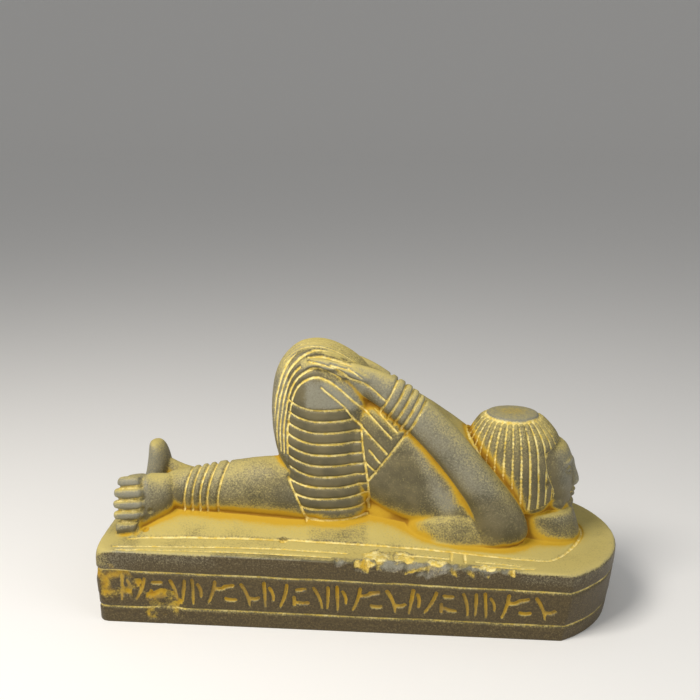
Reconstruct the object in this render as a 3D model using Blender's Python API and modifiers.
"""Kneeling servant statue, cast in one with its plinth.

The figure kneels with its chest bowed down to the plinth, the hands laid on the raised hips and the head
upright at the front. Metres, +Z up, +X towards the head, -Y the inscribed front side. The origin is on the
underside, at the middle of the plinth.
"""

import math

import bmesh
import bpy
import numpy as np
from mathutils import Euler, Matrix, Vector

PART_NAME = "servant_statue"

# Plinth
PLINTH_LENGTH = 0.1264
PLINTH_WIDTH = 0.050
PLINTH_FOOT_HEIGHT = 0.0189
PLINTH_HEAD_HEIGHT = 0.0168
NOSE_LENGTH = 0.0133
FOOT_END_BULGE = 0.0010
FOOT_CORNER_RADIUS = 0.0022
SIDE_UNDERCUT = 0.0010
HEAD_UNDERCUT = 0.0020
FOOT_UNDERCUT = 0.0002
TOP_EDGE_ROUND = 0.0009
LEAN_CURVE = 1.5
TOP_FALL_CURVE = 1.6

# Raised bed that the figure lies on, lower towards the head
BED_FOOT_RISE = 0.0058
BED_HEAD_RISE = 0.0026
BED_MARGIN = 0.0040
BED_CROWN_SHARE = 0.8
BED_FALL_START, BED_FALL_END = 0.0, 0.36

# Inscription band and incised lines on the plinth
BAND_LOWER_HEIGHT = 0.0041
BAND_UPPER_HEIGHT = 0.0136
LINE_WIDTH = 0.0007
LINE_DEPTH = 0.0004
EDGE_LINE_INSETS = (0.0016, 0.0045)
EDGE_LINE_END = -0.0030
BORDER_INSET = 0.0078
STROKE_WIDTH = 0.0008
STROKE_DEPTH = 0.0005
STROKE_PITCH = 0.0050
STROKE_LEANS = (0.0, 28.0, 90.0, -24.0)
STROKE_SHARES = (0.95, 0.9, 0.36, 0.8)
BAND_CLEARANCE = 0.0012

# Worn breaks along the front edge
CHIP_RADIUS = 0.0026
CHIP_DEPTH = 0.0012
CORNER_CHIP_DROP = 0.0030
CHIP_DROP = 0.0006
CHIP_SHAPE = (1.5, 1.0, 0.8)
CHIP_TURN = (0.3, 0.4, 0.2)

# Each chip: place as a share of the length, size as a share of the radius, drop below the top edge
CHIPS = (
    (0.02, 0.7, 0.0),
    (0.075, 1.0, 0.0),
    (0.135, 1.25, CHIP_DROP),
    (0.20, 1.0, 0.0),
    (0.26, 0.9, CHIP_DROP),
    (0.31, 0.7, 0.0),
    (-0.455, 1.3, CORNER_CHIP_DROP),
)

# Figure, whose forms are counted in parts of its own length, 115 from the toes to the nose
FIGURE_LENGTH = 0.1150
FIGURE_SINK = 0.0004
PART = FIGURE_LENGTH / 115

# Carving on the figure
GROOVE_DEPTH = 0.00055
GROOVE_WIDTH = 0.0011
FOLD_COUNT = 11
FOLD_PITCH = 2.81 * PART
PLEAT_COUNT = 4
PLEAT_WIDTH = 0.0008
PLEAT_STEP_SIDE, PLEAT_STEP_TOP = 1.0 * PART, 1.9 * PART
HAIR_FLUTES = 32
BAND_RIDGES = 4
ANKLET_PITCH = 2.0 * PART
BRACELET_PITCH = 1.95 * PART

# Fineness of the modelled surface
RING_SIDES = 16
SIDE_STEPS = 8
NOSE_STEPS = 14
BED_STEPS = (0.14, 0.28, 0.42, 0.56, 0.72, 0.9)
FUSE_VOXEL = 0.00035
FUSE_SMOOTHING = 12
FIGURE_TRIANGLES = 6200

STONE_COLOUR = (0.118, 0.102, 0.062)
STONE_ROUGHNESS = 0.62


def clear_scene():
    for item in list(bpy.data.objects):
        bpy.data.objects.remove(item, do_unlink=True)


def new_collection(name):
    made = bpy.data.collections.new(name)
    bpy.context.scene.collection.children.link(made)
    return made


def object_from(name, points, faces, collection):
    mesh = bpy.data.meshes.new(name)
    mesh.from_pydata([tuple(p) for p in points], [], [tuple(f) for f in faces])
    mesh.validate()
    made = bpy.data.objects.new(name, mesh)
    collection.objects.link(made)
    return made


def evaluated_mesh(item):
    """The object's mesh with its modifiers applied, as a new mesh."""
    graph = bpy.context.evaluated_depsgraph_get()
    return bpy.data.meshes.new_from_object(item.evaluated_get(graph))


def bake_modifiers(item):
    mesh = evaluated_mesh(item)
    item.modifiers.clear()
    item.data = mesh


def recalculate_normals(mesh):
    shell = bmesh.new()
    shell.from_mesh(mesh)
    bmesh.ops.recalc_face_normals(shell, faces=shell.faces)
    shell.to_mesh(mesh)
    shell.free()


# Lofted body forms

def section_axes(pitch, roll):
    """The directions of a section's width and height, square to the limb's slope in the side view."""
    slope, turn = math.radians(pitch), math.radians(roll)
    across = np.array([0.0, 1.0, 0.0])
    up = np.array([-math.sin(slope), 0.0, math.cos(slope)])
    wide = math.cos(turn) * across + math.sin(turn) * up
    tall = -math.sin(turn) * across + math.cos(turn) * up
    return wide, tall


def ring(x, y, h, half_wide, half_tall, pitch, roll=0.0, power=2.0):
    """One section of a limb, as a closed ring of points from round to squarish by its power."""
    wide, tall = section_axes(pitch, roll)
    angles = np.arange(RING_SIDES) * 2 * math.pi / RING_SIDES
    c, s = np.cos(angles), np.sin(angles)
    c = np.sign(c) * np.abs(c) ** (2 / power)
    s = np.sign(s) * np.abs(s) ** (2 / power)
    centre = np.array([x, y, h])
    return centre + half_wide * c[:, None] * wide + half_tall * s[:, None] * tall


def loft(name, rings, collection):
    """A closed skin through rings, rounded off by Subdivision Surface."""
    points = np.concatenate(rings)
    faces = []
    for row in range(len(rings) - 1):
        low = row * RING_SIDES
        for k in range(RING_SIDES):
            after = (k + 1) % RING_SIDES
            faces.append((low + k, low + after, low + RING_SIDES + after, low + RING_SIDES + k))
    faces.append(tuple(range(RING_SIDES))[::-1])
    faces.append(tuple(range(len(points) - RING_SIDES, len(points))))
    made = object_from(name, points, faces, collection)
    recalculate_normals(made.data)
    soften = made.modifiers.new("Soften", "SUBSURF")
    soften.levels = 2
    soften.render_levels = 2
    return made


def mirrored(sections, side):
    """The sections, placed on the near side (-1) or the far side (+1)."""
    placed = []
    for x, y, h, wide, tall, pitch, *rest in sections:
        roll = rest[0] if rest else 0.0
        power = rest[1] if len(rest) > 1 else 2.0
        placed.append(ring(x, side * y, h, wide, tall, pitch, side * roll, power))
    return placed


# Each section: x, y, height over the plinth, half width, half height, pitch, roll, squareness

NEAR_CALF = (
    (-51.0, 6.0, 8.8, 4.2, 4.8, 0),
    (-45.0, 5.6, 9.2, 4.9, 5.5, 0),
    (-34.0, 5.4, 10.0, 5.8, 7.0, 0),
    (-21.0, 5.6, 10.6, 6.4, 9.0, 0),
    (-8.0, 5.8, 9.5, 6.6, 9.0, 0),
    (1.5, 5.8, 8.2, 5.4, 7.6, 0),
)

FAR_CALF = (
    (-52.5, 6.6, 7.0, 3.6, 3.2, 0),
    (-45.0, 5.4, 6.6, 4.4, 4.0, 0),
    (-34.0, 5.0, 7.2, 5.2, 5.2, 0),
    (-21.0, 5.2, 8.0, 6.0, 7.0, 0),
    (-8.0, 5.6, 8.5, 6.6, 8.2, 0),
    (1.5, 5.8, 8.0, 5.4, 7.4, 0),
)

NEAR_FOOT = (
    (-45.0, 6.2, 8.8, 4.4, 5.0, 0),
    (-49.4, 8.4, 8.0, 4.8, 6.3, 0, 4),
    (-53.0, 10.8, 7.4, 4.9, 7.7, 0, 8, 2.4),
    (-56.8, 12.2, 7.0, 4.8, 8.2, 0, 9, 2.6),
    (-60.8, 12.8, 6.8, 4.2, 7.9, 0, 9, 2.6),
)

FAR_FOOT = (
    (-56.8, 8.2, 0.0, 6.0, 4.4, 90, 0, 2.4),
    (-55.6, 8.2, 4.0, 5.8, 4.2, 90, 0, 2.4),
    (-54.6, 8.0, 9.0, 4.6, 3.6, 90, 0, 2.2),
    (-54.8, 7.9, 13.5, 4.2, 3.0, 90),
    (-55.2, 7.9, 16.4, 3.6, 2.2, 90),
    (-55.6, 7.9, 17.6, 2.0, 1.2, 90),
)

FAR_HEEL = (
    (-54.6, 8.0, 7.6, 2.2, 7.0, 0),
    (-50.8, 7.8, 6.2, 3.0, 5.8, 0),
    (-45.0, 7.2, 5.4, 3.6, 4.6, 0),
    (-39.0, 6.2, 6.2, 4.0, 4.0, 0),
)

# The stone left standing between the legs and under the body, as far as the neck
WEB = (
    (-57.0, 0, 1.0, 7.0, 4.0, 0),
    (-46.0, 0, 3.0, 5.6, 5.6, 0),
    (-34.0, 0, 4.0, 5.4, 6.6, 0),
    (-20.0, 0, 5.0, 5.4, 8.4, 0),
    (-6.0, 0, 5.0, 7.4, 8.4, 0),
    (6.0, 0, 3.6, 9.4, 7.0, 0, 0, 2.6),
    (18.0, 0, 2.6, 10.6, 6.4, 0, 0, 2.6),
    (30.0, 0, 1.8, 11.6, 5.6, 0, 0, 2.6),
    (37.0, 0, 1.6, 11.4, 5.0, 0, 0, 2.6),
    (45.0, 0, 1.0, 8.0, 4.0, 0, 0, 2.6),
)

THIGHS = (
    (-6.0, 0, 0.0, 11.6, 8.2, 90, 0, 2.8),
    (-6.4, 0, 5.5, 12.0, 9.6, 90, 0, 2.8),
    (-7.8, 0, 13.0, 12.0, 11.2, 90, 0, 3.0),
    (-9.3, 0, 21.0, 12.5, 12.6, 90, 0, 3.0),
    (-9.6, 0, 29.0, 12.6, 13.4, 90, 0, 2.8),
    (-9.0, 0, 36.0, 12.2, 13.6, 90, 0, 2.6),
    (-10.1, 0, 42.0, 10.4, 11.1, 90, 0, 2.4),
    (-11.2, 0, 46.0, 6.8, 6.2, 90),
    (-11.6, 0, 47.4, 2.8, 2.6, 90),
)

TORSO = (
    (-8.0, 0, 28.0, 10.8, 15.0, -36, 0, 2.6),
    (4.0, 0, 23.4, 12.0, 14.6, -37, 0, 2.8),
    (14.0, 0, 16.4, 12.8, 14.6, -38, 0, 3.0),
    (22.0, 0, 11.2, 13.2, 13.8, -38, 0, 3.0),
    (28.6, 0, 6.6, 13.6, 12.6, -38, 0, 3.0),
    (33.6, 0, 3.6, 13.6, 10.0, -38, 0, 3.0),
)

NEAR_ARM = (
    (32.8, 11.0, -0.8, 4.4, 8.2, 95),
    (33.8, 11.3, 3.8, 4.7, 7.6, 106),
    (31.6, 11.8, 11.4, 4.6, 5.5, 122),
    (27.8, 11.9, 16.2, 4.5, 4.8, 127),
    (22.7, 11.7, 23.0, 4.2, 4.6, 130),
    (16.6, 11.1, 29.3, 3.8, 4.5, 134),
    (11.4, 10.4, 33.9, 3.5, 4.5, 138),
    (6.8, 9.8, 37.3, 3.3, 4.3, 142),
    (2.0, 9.0, 39.2, 2.7, 4.4, 150, 24),
    (-4.0, 8.0, 41.2, 2.0, 4.6, 162, 42, 2.4),
    (-9.5, 7.2, 42.2, 1.7, 4.4, 176, 48, 2.4),
    (-13.8, 6.8, 41.6, 1.2, 3.4, 194, 50, 2.4),
)

FAR_ARM = (
    (32.8, 11.0, -0.8, 4.4, 8.2, 95),
    (33.8, 11.2, 3.8, 4.7, 7.4, 106),
    (31.0, 11.4, 10.4, 4.6, 5.2, 124),
    (27.0, 11.6, 14.6, 4.4, 4.6, 130),
    (21.4, 11.5, 20.2, 4.0, 4.3, 132),
    (15.4, 11.2, 25.2, 3.7, 4.0, 136),
    (10.0, 11.0, 29.2, 3.4, 3.9, 140),
    (5.2, 10.8, 32.6, 3.2, 3.8, 146),
    (0.4, 10.8, 35.8, 2.6, 4.0, 152, 10),
    (-5.4, 10.6, 38.2, 2.0, 4.2, 162, 20, 2.4),
    (-10.8, 9.9, 39.2, 1.7, 4.1, 174, 28, 2.4),
    (-14.8, 9.0, 39.2, 1.2, 3.2, 184, 30, 2.4),
)

HAIR = (
    (37.2, 0, 6.2, 10.0, 9.2, 90, 0, 2.3),
    (37.0, 0, 8.0, 11.4, 11.0, 90, 0, 2.3),
    (36.8, 0, 13.0, 11.7, 11.8, 90, 0, 2.3),
    (36.8, 0, 18.5, 11.4, 11.9, 90, 0, 2.2),
    (37.2, 0, 24.0, 10.6, 11.5, 90),
    (36.9, 0, 27.2, 8.8, 9.2, 90),
    (36.6, 0, 29.6, 6.9, 7.2, 90),
    (36.6, 0, 30.4, 5.0, 5.4, 90),
)

FACE = (
    (44.4, 0, 3.6, 4.8, 5.2, 90),
    (44.6, 0, 6.2, 6.4, 6.8, 90),
    (44.6, 0, 10.5, 7.5, 7.9, 90),
    (44.4, 0, 16.0, 8.2, 8.3, 90),
    (43.8, 0, 20.6, 8.0, 7.9, 90),
    (42.8, 0, 24.4, 7.0, 6.8, 90),
)

NOSE = (
    (51.0, 0, 11.5, 1.5, 1.3, 90),
    (52.0, 0, 12.4, 1.9, 2.0, 90),
    (51.9, 0, 14.6, 1.4, 1.8, 90),
    (51.2, 0, 17.8, 1.0, 1.3, 90),
)

NECK = (
    (43.0, 0, -2.0, 11.6, 12.4, 90, 0, 2.4),
    (43.0, 0, 1.2, 10.8, 11.4, 90, 0, 2.4),
    (42.8, 0, 4.2, 10.2, 10.6, 90, 0, 2.4),
    (42.4, 0, 6.4, 9.8, 10.3, 90, 0, 2.4),
    (42.0, 0, 7.4, 9.0, 9.4, 90, 0, 2.4),
)


def body_forms(collection):
    forms = [
        loft("near_foot", mirrored(NEAR_FOOT, -1), collection),
        loft("far_foot", mirrored(FAR_FOOT, 1), collection),
        loft("far_heel", mirrored(FAR_HEEL, 1), collection),
        loft("web", mirrored(WEB, 1), collection),
        loft("thighs", mirrored(THIGHS, 1), collection),
        loft("torso", mirrored(TORSO, 1), collection),
        loft("hair", mirrored(HAIR, 1), collection),
        loft("face", mirrored(FACE, 1), collection),
        loft("nose", mirrored(NOSE, 1), collection),
        loft("neck", mirrored(NECK, 1), collection),
    ]
    for side, word, calf, arm in ((-1, "near", NEAR_CALF, NEAR_ARM), (1, "far", FAR_CALF, FAR_ARM)):
        forms.append(loft(f"{word}_calf", mirrored(calf, side), collection))
        forms.append(loft(f"{word}_arm", mirrored(arm, side), collection))
    return forms


def fused(forms, name, collection):
    """All forms as one skin: their shells are joined and remeshed, and the joins smoothed."""
    shell = bmesh.new()
    for form in forms:
        mesh = evaluated_mesh(form)
        shell.from_mesh(mesh)
        bpy.data.meshes.remove(mesh)
    bmesh.ops.scale(shell, vec=(PART, PART, PART), verts=shell.verts)
    joined = bpy.data.meshes.new(name)
    shell.to_mesh(joined)
    shell.free()
    body = bpy.data.objects.new(name, joined)
    collection.objects.link(body)
    fuse = body.modifiers.new("Fuse", "REMESH")
    fuse.mode = "VOXEL"
    fuse.voxel_size = FUSE_VOXEL
    smooth = body.modifiers.new("Smooth", "SMOOTH")
    smooth.factor = 0.5
    smooth.iterations = FUSE_SMOOTHING
    bake_modifiers(body)
    for form in forms:
        bpy.data.objects.remove(form, do_unlink=True)
    return body


# Carving, as a share of the groove depth at each point of the skin; places are in parts

def groove(distance, width=GROOVE_WIDTH):
    """A round-bottomed groove: 1 on its centre line, 0 past its half width."""
    t = np.clip(1 - np.abs(distance) * PART / (width / 2), 0, 1)
    return t * t * (3 - 2 * t)


def inside(value, low, high):
    return (value > low) & (value < high)


def to_polyline(x, h, line):
    """Distance in the side view from each point to a line of straight runs."""
    nearest = np.full(len(x), np.inf)
    for (x0, h0), (x1, h1) in zip(line[:-1], line[1:]):
        run = np.array([x1 - x0, h1 - h0])
        along = ((x - x0) * run[0] + (h - h0) * run[1]) / (run @ run)
        along = np.clip(along, 0, 1)
        gap = np.hypot(x - x0 - along * run[0], h - h0 - along * run[1])
        nearest = np.minimum(nearest, gap)
    return nearest


def to_arm(x, y, h):
    """How far outside the nearer arm each point lies: 0 on its skin, negative within it."""
    points = np.column_stack([x, y, h])
    nearest = np.full(len(x), np.inf)
    for side, arm in ((-1, NEAR_ARM), (1, FAR_ARM)):
        for start, end in zip(arm[:-1], arm[1:]):
            first = np.array([start[0], side * start[1], start[2]])
            run = np.array([end[0], side * end[1], end[2]]) - first
            along = np.clip((points - first) @ run / (run @ run), 0, 1)
            offset = points - first - along[:, None] * run
            roll = start[6] if len(start) > 6 else 0.0
            wide, tall = section_axes(start[5], side * roll)
            half_wide = start[3] + along * (end[3] - start[3])
            half_tall = start[4] + along * (end[4] - start[4])
            least = np.minimum(half_wide, half_tall)
            beyond = offset @ run / np.linalg.norm(run) / least
            ratio = np.sqrt((offset @ wide / half_wide) ** 2 + (offset @ tall / half_tall) ** 2 + beyond**2)
            nearest = np.minimum(nearest, (ratio - 1) * least)
    return nearest


# Lines of the kilt in the side view: place along the length, height over the plinth
TOP_FOLD = ((-17.2, 34.8), (-9.8, 32.7), (1.4, 33.7))
HEM = ((-17.4, 15.4), (-16.1, 12.4), (-14.2, 7.9), (-12.4, 2.6))
SEAM = ((-9.1, 38.2), (-3.9, 33.9), (-0.8, 30.0), (6.6, 22.3))
WAIST = ((11.0, 27.2), (1.9, 14.8))
PANEL_EDGE = ((0.3, 29.0), (0.8, 23.4), (1.9, 14.8), (2.1, 7.0))
INNER_PLEAT = (
    (-17.5, 15.0), (-17.6, 22.2), (-17.2, 29.2), (-16.1, 35.4), (-14.2, 38.8), (-10.9, 40.5),
    (-8.0, 40.0), (-5.4, 38.4), (-2.1, 35.5), (3.1, 30.7), (7.5, 26.3),
)
# The kilt is carved out from the middle, above the calf, clear of the arms and where the skin faces sideways
SIDE_FROM, CALF_TOP = 5, 20
CLEAR_OF_ARM = 0.3
FACING_SIDE = 0.35


def pleat(number):
    """A pleat outside the innermost one: each of its points moved out along the line's own normal."""
    points = np.array(INNER_PLEAT)
    run = np.gradient(points, axis=0)
    normal = np.column_stack([-run[:, 1], run[:, 0]])
    normal /= np.linalg.norm(normal, axis=1)[:, None]
    step = np.where(normal[:, :1] < 0, (PLEAT_STEP_SIDE, PLEAT_STEP_TOP), PLEAT_STEP_TOP)
    return points + number * step / PART * normal


def fold_level(x, number):
    """Height of a cross fold of the panel: lowest at its dip, rising to both ends."""
    (left, left_h), (dip, dip_h), (right, right_h) = TOP_FOLD
    to_left = np.clip((dip - x) / (dip - left), 0, 1)
    to_right = np.clip((x - dip) / (right - dip), 0, 1)
    level = dip_h + (left_h - dip_h) * to_left**2 + (right_h - dip_h) * to_right**2
    return level - number * FOLD_PITCH / PART


def right_of(x, h, line):
    """Where points lie to the right of a line that runs downwards."""
    heights = [point[1] for point in line[::-1]]
    places = [point[0] for point in line[::-1]]
    return x > np.interp(h, heights, places)


def kilt_depth(x, y, h, outward):
    """Cross folds of the side panel, the pleats round the hip, the hem, the seam and the waist line."""
    across = np.abs(y)
    on_kilt = (to_arm(x, y, h) > CLEAR_OF_ARM) & (across > SIDE_FROM)
    facing = np.abs(outward[:, 1]) > FACING_SIDE
    panel = facing & right_of(x, h, HEM) & ~right_of(x, h, PANEL_EDGE) & ~right_of(x, h, SEAM)
    depth = np.zeros(len(x))
    for number in range(FOLD_COUNT):
        fold = groove(h - fold_level(x, number))
        depth = np.maximum(depth, np.where(panel, fold, 0))
    skirt = (h > CALF_TOP) & (~right_of(x, h, WAIST) | (h > WAIST[0][1]))
    for number in range(PLEAT_COUNT):
        mark = groove(to_polyline(x, h, pleat(number)), PLEAT_WIDTH)
        depth = np.maximum(depth, np.where(skirt, mark, 0))
    for line in (HEM, SEAM, WAIST, PANEL_EDGE):
        mark = groove(to_polyline(x, h, line))
        depth = np.maximum(depth, np.where(facing, mark, 0))
    return np.where(on_kilt, depth, 0)


def ringed(position, pitch):
    """Grooves on both sides of each ridge of a bracelet or an anklet, from position 0 on."""
    depth = np.zeros(len(position))
    for number in range(BAND_RIDGES + 1):
        depth = np.maximum(depth, groove(position - number * pitch / PART))
    return depth


# The first groove of each band: place along the length, height over the plinth, and its lean in degrees
ANKLET = (-43.3, 10.0, 11)
BRACELET = (7.5, 37.5, -28)
ANKLET_REACH = (-48, -31, 18)
ARM_SKIN = 0.8
TOES = ((-57.0, 4.5), (-57.0, 7.2), (-57.0, 9.8), (-57.0, 12.7))
TOE_SLOPE = 0.08
FINGERS = (
    ((-12.6, 44.0), (-9.6, 44.6), (-6.3, 44.4), (-3.1, 43.4)),
    ((-12.0, 42.6), (-8.6, 42.6), (-4.0, 41.2)),
)
TOE_ROOT = ((-53.5, 15.0), (-52.6, 12.3), (-52.6, 9.8), (-52.9, 6.4), (-54.1, 2.5))


def limb_depth(x, y, h):
    """Anklets, bracelets, the gaps between fingers and between toes, and the crease behind the toes."""
    first, last, top = ANKLET_REACH
    start_x, start_h, lean = ANKLET
    along = x - start_x - math.tan(math.radians(lean)) * (h - start_h)
    ankle = (h < top) & inside(x, first, last)
    depth = np.where(ankle, ringed(along, ANKLET_PITCH), 0)
    start_x, start_h, lean = BRACELET
    slope = math.radians(lean)
    along = (x - start_x) * math.cos(slope) + (h - start_h) * math.sin(slope)
    on_arm = (to_arm(x, y, h) < ARM_SKIN) & (np.abs(y) > SIDE_FROM)
    depth = np.maximum(depth, np.where(on_arm, ringed(along, BRACELET_PITCH), 0))
    for line in FINGERS:
        gap = groove(to_polyline(x, h, line), PLEAT_WIDTH)
        depth = np.maximum(depth, np.where(on_arm, gap, 0))
    near_foot = (y < -SIDE_FROM) & (x < first)
    root = groove(to_polyline(x, h, TOE_ROOT))
    depth = np.maximum(depth, np.where(near_foot, root, 0))
    before_root = near_foot & ~right_of(x, h, TOE_ROOT)
    for toe_x, toe_h in TOES:
        gap = groove(h - toe_h - TOE_SLOPE * (x - toe_x))
        depth = np.maximum(depth, np.where(before_root, gap, 0))
    return depth


# The face: how far out and how high the eyes lie, with the sizes of the hollow and the lid, and the mouth.
# Shares are of the groove depth or of the groove width.
FACE_FRONT = 46
EYE = (3.4, 16.9)
EYE_HOLLOW = (2.6, 2.2)
EYE_LID = (1.6, 0.9)
EYE_SHARE = 1.6
MOUTH = (2.6, 10.2)
MOUTH_SHARE = 0.9
MOUTH_WIDTH_SHARE = 1.4


def face_depth(x, y, h):
    """Eye hollows with raised lids, and the line between the lips."""
    across = np.abs(y)
    eye_y, eye_h = EYE
    hollow = np.clip(1 - np.hypot((across - eye_y) / EYE_HOLLOW[0], (h - eye_h) / EYE_HOLLOW[1]), 0, 1)
    lid = np.clip(1 - np.hypot((across - eye_y) / EYE_LID[0], (h - eye_h) / EYE_LID[1]), 0, 1)
    half_mouth, mouth_h = MOUTH
    lips = groove(h - mouth_h, MOUTH_WIDTH_SHARE * GROOVE_WIDTH) * (across < half_mouth)
    return np.where(x > FACE_FRONT, EYE_SHARE * (hollow - lid) + MOUTH_SHARE * lips, 0)


# The wig: its axis and crown height, the crown's half width, and its edges in the side view
HAIR_AXIS = (36.7, 30.6)
CROWN_HALF_WIDTH = 6.5
CROWN_RIM_REACH = 3
HAIR_REACH = 14
HAIR_SKIN = 1.3
HAIR_FRONT = ((60.0, 24.0), (48.6, 23.7), (44.8, 22.4), (44.2, 20.6), (45.4, 15.5), (47.0, 9.0))
HAIR_BOTTOM = ((24.0, 27.5), (30.0, 19.5), (34.5, 10.0), (37.0, 7.9), (41.0, 8.7), (46.2, 10.2), (48.0, 16.0))
HAIR_PROUD_SHARE = 0.6
FLUTE_SHARE = 0.85
RIM_SHARE = 0.6


def off_hair(x, y, h):
    """How far outside the wig's own form each point lies, negative within it."""
    middle, level, half_wide, half_long = [[row[k] for row in HAIR] for k in (0, 2, 3, 4)]
    half_wide = np.interp(h, level, half_wide)
    along = (x - np.interp(h, level, middle)) / np.interp(h, level, half_long)
    return (np.hypot(y / half_wide, along) - 1) * half_wide


def hair_depth(x, y, h):
    """Flutes that run down from the flat crown, the crown's rim, and the hair's own thickness."""
    axis_x, crown = HAIR_AXIS
    reach = np.hypot(x - axis_x, y)
    turn = np.arctan2(y, x - axis_x) * HAIR_FLUTES / (2 * math.pi)
    off = (turn - np.floor(turn) - 0.5) * reach * 2 * math.pi / HAIR_FLUTES
    face = right_of(x, h, HAIR_FRONT) & (h < HAIR_FRONT[0][1])
    neck = h < np.interp(x, *zip(*HAIR_BOTTOM))
    fringe = (h > HAIR_FRONT[1][1]) & (x > HAIR_FRONT[2][0])
    skin = (np.abs(off_hair(x, y, h)) < HAIR_SKIN) | (h > crown - CROWN_RIM_REACH) | fringe
    on_hair = skin & (reach < HAIR_REACH) & (to_arm(x, y, h) > 0) & ~face & ~neck
    flute = np.where(reach > CROWN_HALF_WIDTH, FLUTE_SHARE * groove(off), 0)
    rim = RIM_SHARE * (h > crown - CROWN_RIM_REACH) * groove(reach - CROWN_HALF_WIDTH)
    return np.where(on_hair, np.maximum(flute, rim) - HAIR_PROUD_SHARE, 0)


def carve(body):
    """Sinks the carving into the fused skin, along its own normals."""
    mesh = body.data
    count = len(mesh.vertices)
    points = np.empty(count * 3)
    mesh.vertices.foreach_get("co", points)
    points = points.reshape(-1, 3)
    outward = np.empty(count * 3)
    mesh.vertices.foreach_get("normal", outward)
    outward = outward.reshape(-1, 3)
    x, y, h = (points / PART).T
    depth = kilt_depth(x, y, h, outward)
    depth = np.maximum(depth, limb_depth(x, y, h))
    on_head = x > HAIR_AXIS[0] - 2 * CROWN_HALF_WIDTH
    depth = np.where(on_head, hair_depth(x, y, h) + face_depth(x, y, h), depth)
    points -= outward * (depth * GROOVE_DEPTH)[:, None]
    mesh.vertices.foreach_set("co", points.reshape(-1))
    mesh.update()


def thinned(body, triangles):
    """Fewer faces, most of them left where the form turns."""
    faces = sum(len(p.vertices) - 2 for p in body.data.polygons)
    thin = body.modifiers.new("Thin", "DECIMATE")
    thin.ratio = min(1.0, triangles / faces)
    thin.use_collapse_triangulate = True
    bake_modifiers(body)


# Plinth: the steps of its foot end's outline, and how far each of its rounded corners turns, in degrees
CORNER_STEPS = 5
CORNER_TURN = 80
END_STEPS = 8


def plinth_height(x):
    """Height of the plinth's top, which falls slightly towards the head."""
    share = np.clip(x / PLINTH_LENGTH + 0.5, 0, 1)
    return PLINTH_FOOT_HEIGHT + (PLINTH_HEAD_HEIGHT - PLINTH_FOOT_HEIGHT) * share**TOP_FALL_CURVE


def plinth_outline(side_inset, head_inset, foot_inset):
    """The plan, as points anticlockwise from the near foot-end corner: straight sides, a round nose at the
    head that starts at a crease, and a gently bulging foot end with rounded corners."""
    half_length = PLINTH_LENGTH / 2 - head_inset
    half_width = PLINTH_WIDTH / 2 - side_inset
    corner = FOOT_CORNER_RADIUS
    foot_x = -PLINTH_LENGTH / 2 + foot_inset + FOOT_END_BULGE
    crease_x = half_length - NOSE_LENGTH
    outline = []
    for k in range(SIDE_STEPS + 1):
        outline.append((foot_x + corner + (crease_x - foot_x - corner) * k / SIDE_STEPS, -half_width))
    radius = (half_width**2 + NOSE_LENGTH**2) / (2 * NOSE_LENGTH)
    sweep = math.asin(half_width / radius)
    for k in range(1, NOSE_STEPS):
        turn = -sweep + 2 * sweep * k / NOSE_STEPS
        outline.append((half_length - radius + radius * math.cos(turn), radius * math.sin(turn)))
    for k in range(SIDE_STEPS + 1):
        outline.append((crease_x - (crease_x - foot_x - corner) * k / SIDE_STEPS, half_width))
    inner = half_width - corner
    for k in range(1, CORNER_STEPS):
        turn = math.radians(90 + CORNER_TURN * k / CORNER_STEPS)
        outline.append((foot_x + corner + corner * math.cos(turn), inner + corner * math.sin(turn)))
    for k in range(END_STEPS + 1):
        share = 1 - 2 * k / END_STEPS
        bulge = FOOT_END_BULGE * (1 - share**2)
        outline.append((foot_x - bulge, inner * share))
    for k in range(1, CORNER_STEPS):
        turn = math.radians(270 - CORNER_TURN + CORNER_TURN * k / CORNER_STEPS)
        outline.append((foot_x + corner + corner * math.cos(turn), -inner + corner * math.sin(turn)))
    return np.array(outline)


def smooth_step(value):
    t = np.clip(value, 0, 1)
    return t * t * (3 - 2 * t)


def bed_rise(x, inset):
    """Height of the soft bed over the plinth's top, at a distance in from the plinth's outline."""
    fall = smooth_step((x / PLINTH_LENGTH - BED_FALL_START) / (BED_FALL_END - BED_FALL_START))
    rise = BED_FOOT_RISE + (BED_HEAD_RISE - BED_FOOT_RISE) * fall
    return rise * smooth_step((inset - BED_MARGIN) / (BED_CROWN_SHARE * (PLINTH_WIDTH / 2 - BED_MARGIN)))


def lean_insets(share):
    """How far the wall stands inside the top edge at a share of its height, for the sides, the head end and
    the foot end: it leans in downwards, and the ends curve."""
    curve = (1 - share) ** LEAN_CURVE
    return SIDE_UNDERCUT * (1 - share), HEAD_UNDERCUT * curve, FOOT_UNDERCUT * curve


def wall_ring(height, sunk=0.0):
    """The plinth's outline at a height of the foot end, which falls with the top towards the head."""
    share = height / PLINTH_FOOT_HEIGHT
    outline = plinth_outline(*[inset + sunk for inset in lean_insets(share)])
    return np.column_stack([outline, plinth_height(outline[:, 0]) * share])


def edge_ring(turn):
    """A step of the rounded top edge, from 0 at the wall to 90 on the top."""
    inset = TOP_EDGE_ROUND * (1 - math.cos(math.radians(turn)))
    drop = TOP_EDGE_ROUND * (1 - math.sin(math.radians(turn)))
    outline = plinth_outline(inset, inset, inset)
    return np.column_stack([outline, plinth_height(outline[:, 0]) - drop])


def top_ring(inset, sunk=0.0, end=PLINTH_LENGTH):
    """The outline drawn in by an inset, on the plinth's top, and sunk by a line's depth as far as end."""
    outline = plinth_outline(inset, inset, inset)
    line = np.where(outline[:, 0] < end, sunk, 0.0)
    height = plinth_height(outline[:, 0]) + bed_rise(outline[:, 0], inset) - line
    return np.column_stack([outline, height])


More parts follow.
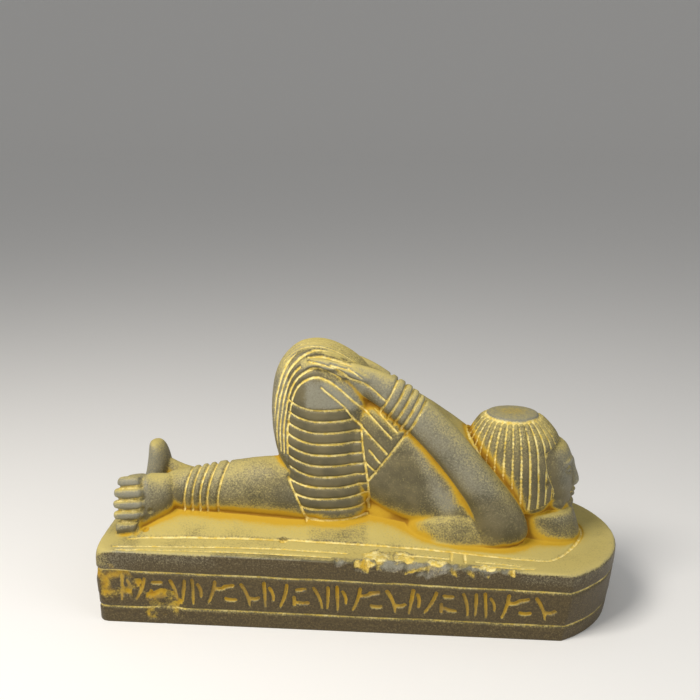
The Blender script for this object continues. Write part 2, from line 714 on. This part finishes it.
def line_rings(inset, end=PLINTH_LENGTH):
    """The three rings of an incised line: its two edges and its sunk middle."""
    half = LINE_WIDTH / 2
    return [top_ring(inset - half), top_ring(inset, LINE_DEPTH, end), top_ring(inset + half)]


def bed_rings():
    """Rings from the border line in to the middle line of the bed."""
    start = BORDER_INSET + LINE_WIDTH / 2
    outer = plinth_outline(start, start, start)
    spine_end = (PLINTH_LENGTH - PLINTH_WIDTH) / 2
    spine = np.column_stack([np.clip(outer[:, 0], -spine_end, spine_end), np.zeros(len(outer))])
    rings = []
    for share in BED_STEPS:
        plan = outer + (spine - outer) * share
        inset = start + (PLINTH_WIDTH / 2 - start) * share
        height = plinth_height(plan[:, 0]) + bed_rise(plan[:, 0], inset)
        rings.append(np.column_stack([plan, height]))
    return rings


def plinth_rings():
    """Rings from the underside up the wall, over the edge and in to the middle line of the bed."""
    half = LINE_WIDTH / 2
    rings = [wall_ring(0.0)]
    for height in (BAND_LOWER_HEIGHT, BAND_UPPER_HEIGHT):
        rings += [wall_ring(height - half), wall_ring(height, LINE_DEPTH), wall_ring(height + half)]
    rings += [edge_ring(0), edge_ring(50), edge_ring(90)]
    for inset in EDGE_LINE_INSETS:
        rings += line_rings(inset, EDGE_LINE_END)
    return rings + line_rings(BORDER_INSET) + bed_rings()


def plinth_body(collection):
    rings = plinth_rings()
    count = len(rings[0])
    faces = []
    for row in range(len(rings) - 1):
        low = row * count
        for k in range(count):
            after = (k + 1) % count
            faces.append((low + k, low + after, low + count + after, low + count + k))
    faces.append(tuple(range(count))[::-1])
    faces.append(tuple(range(len(rings) * count - count, len(rings) * count)))
    made = object_from(PART_NAME, np.concatenate(rings), faces, collection)
    recalculate_normals(made.data)
    return made


def primitive(shell, kind, size, place, turn):
    """Adds a stretched cube or ball to shell, turned and moved to its place."""
    if kind == "bar":
        corners = bmesh.ops.create_cube(shell, size=1.0)["verts"]
    else:
        corners = bmesh.ops.create_icosphere(shell, subdivisions=2, radius=1.0)["verts"]
    matrix = Matrix.LocRotScale(Vector(place), Euler(turn), Vector(size))
    bmesh.ops.transform(shell, matrix=matrix, verts=corners)


def cutter_from(shell, name, collection):
    mesh = bpy.data.meshes.new(name)
    shell.to_mesh(mesh)
    shell.free()
    made = bpy.data.objects.new(name, mesh)
    collection.objects.link(made)
    return made


def strokes(side, collection):
    """Shallow strokes along the band of one long wall: uprights, slanting and lying bars in turn."""
    first = -PLINTH_LENGTH / 2 + FOOT_END_BULGE + FOOT_CORNER_RADIUS + STROKE_PITCH
    last = PLINTH_LENGTH / 2 - NOSE_LENGTH - STROKE_PITCH / 2
    count = int((last - first) / STROKE_PITCH) + 1
    wall_lean = math.atan2(SIDE_UNDERCUT, PLINTH_FOOT_HEIGHT)
    shell = bmesh.new()
    for k in range(count):
        x = first + k * STROKE_PITCH
        fall = float(plinth_height(x)) / PLINTH_FOOT_HEIGHT
        low = (BAND_LOWER_HEIGHT + BAND_CLEARANCE) * fall
        high = (BAND_UPPER_HEIGHT - BAND_CLEARANCE) * fall
        middle = (low + high) / 2
        kind = (k * 7 + 3) % len(STROKE_LEANS)
        length = (high - low) * STROKE_SHARES[kind]
        wall = PLINTH_WIDTH / 2 - lean_insets(middle / fall / PLINTH_FOOT_HEIGHT)[0]
        turn = (-side * wall_lean, math.radians(STROKE_LEANS[kind]), 0)
        primitive(shell, "bar", (STROKE_WIDTH, 2 * STROKE_DEPTH, length), (x, side * wall, middle), turn)
    return cutter_from(shell, "near_strokes" if side < 0 else "far_strokes", collection)


def chips(collection):
    """Worn breaks in the near top edge, as shallow bites, and a larger one at the foot-end corner."""
    made = []
    for k, (share, size, drop) in enumerate(CHIPS):
        x = share * PLINTH_LENGTH
        bite = CHIP_RADIUS * size
        out = bite * CHIP_SHAPE[2] - CHIP_DEPTH
        shell = bmesh.new()
        height = float(plinth_height(x)) + out / 2 - drop
        place = (x, -PLINTH_WIDTH / 2 - out, height)
        shape = [bite * stretch for stretch in CHIP_SHAPE]
        primitive(shell, "ball", shape, place, [k * turn for turn in CHIP_TURN])
        made.append(cutter_from(shell, f"chip_{k}", collection))
    return made


def boolean(target, tool, operation):
    step = target.modifiers.new(tool.name, "BOOLEAN")
    step.operation = operation
    step.solver = "EXACT"
    step.object = tool


def as_tool(item):
    item.hide_render = True
    item.display_type = "WIRE"


def stone():
    made = bpy.data.materials.new("stone")
    made.use_nodes = True
    shader = made.node_tree.nodes["Principled BSDF"]
    shader.inputs["Base Color"].default_value = (*STONE_COLOUR, 1.0)
    shader.inputs["Roughness"].default_value = STONE_ROUGHNESS
    shader.inputs["Metallic"].default_value = 0.0
    return made


def main():
    clear_scene()
    parts = new_collection(PART_NAME)
    tools = new_collection("cutters")
    figure = fused(body_forms(tools), "figure", tools)
    carve(figure)
    thinned(figure, FIGURE_TRIANGLES)
    figure.location = (0, 0, float(plinth_height(0.0)) - FIGURE_SINK)
    statue = plinth_body(parts)
    statue.data.materials.append(stone())
    for tool in [strokes(-1, tools), strokes(1, tools)] + chips(tools):
        boolean(statue, tool, "DIFFERENCE")
        as_tool(tool)
    boolean(statue, figure, "UNION")
    as_tool(figure)


main()
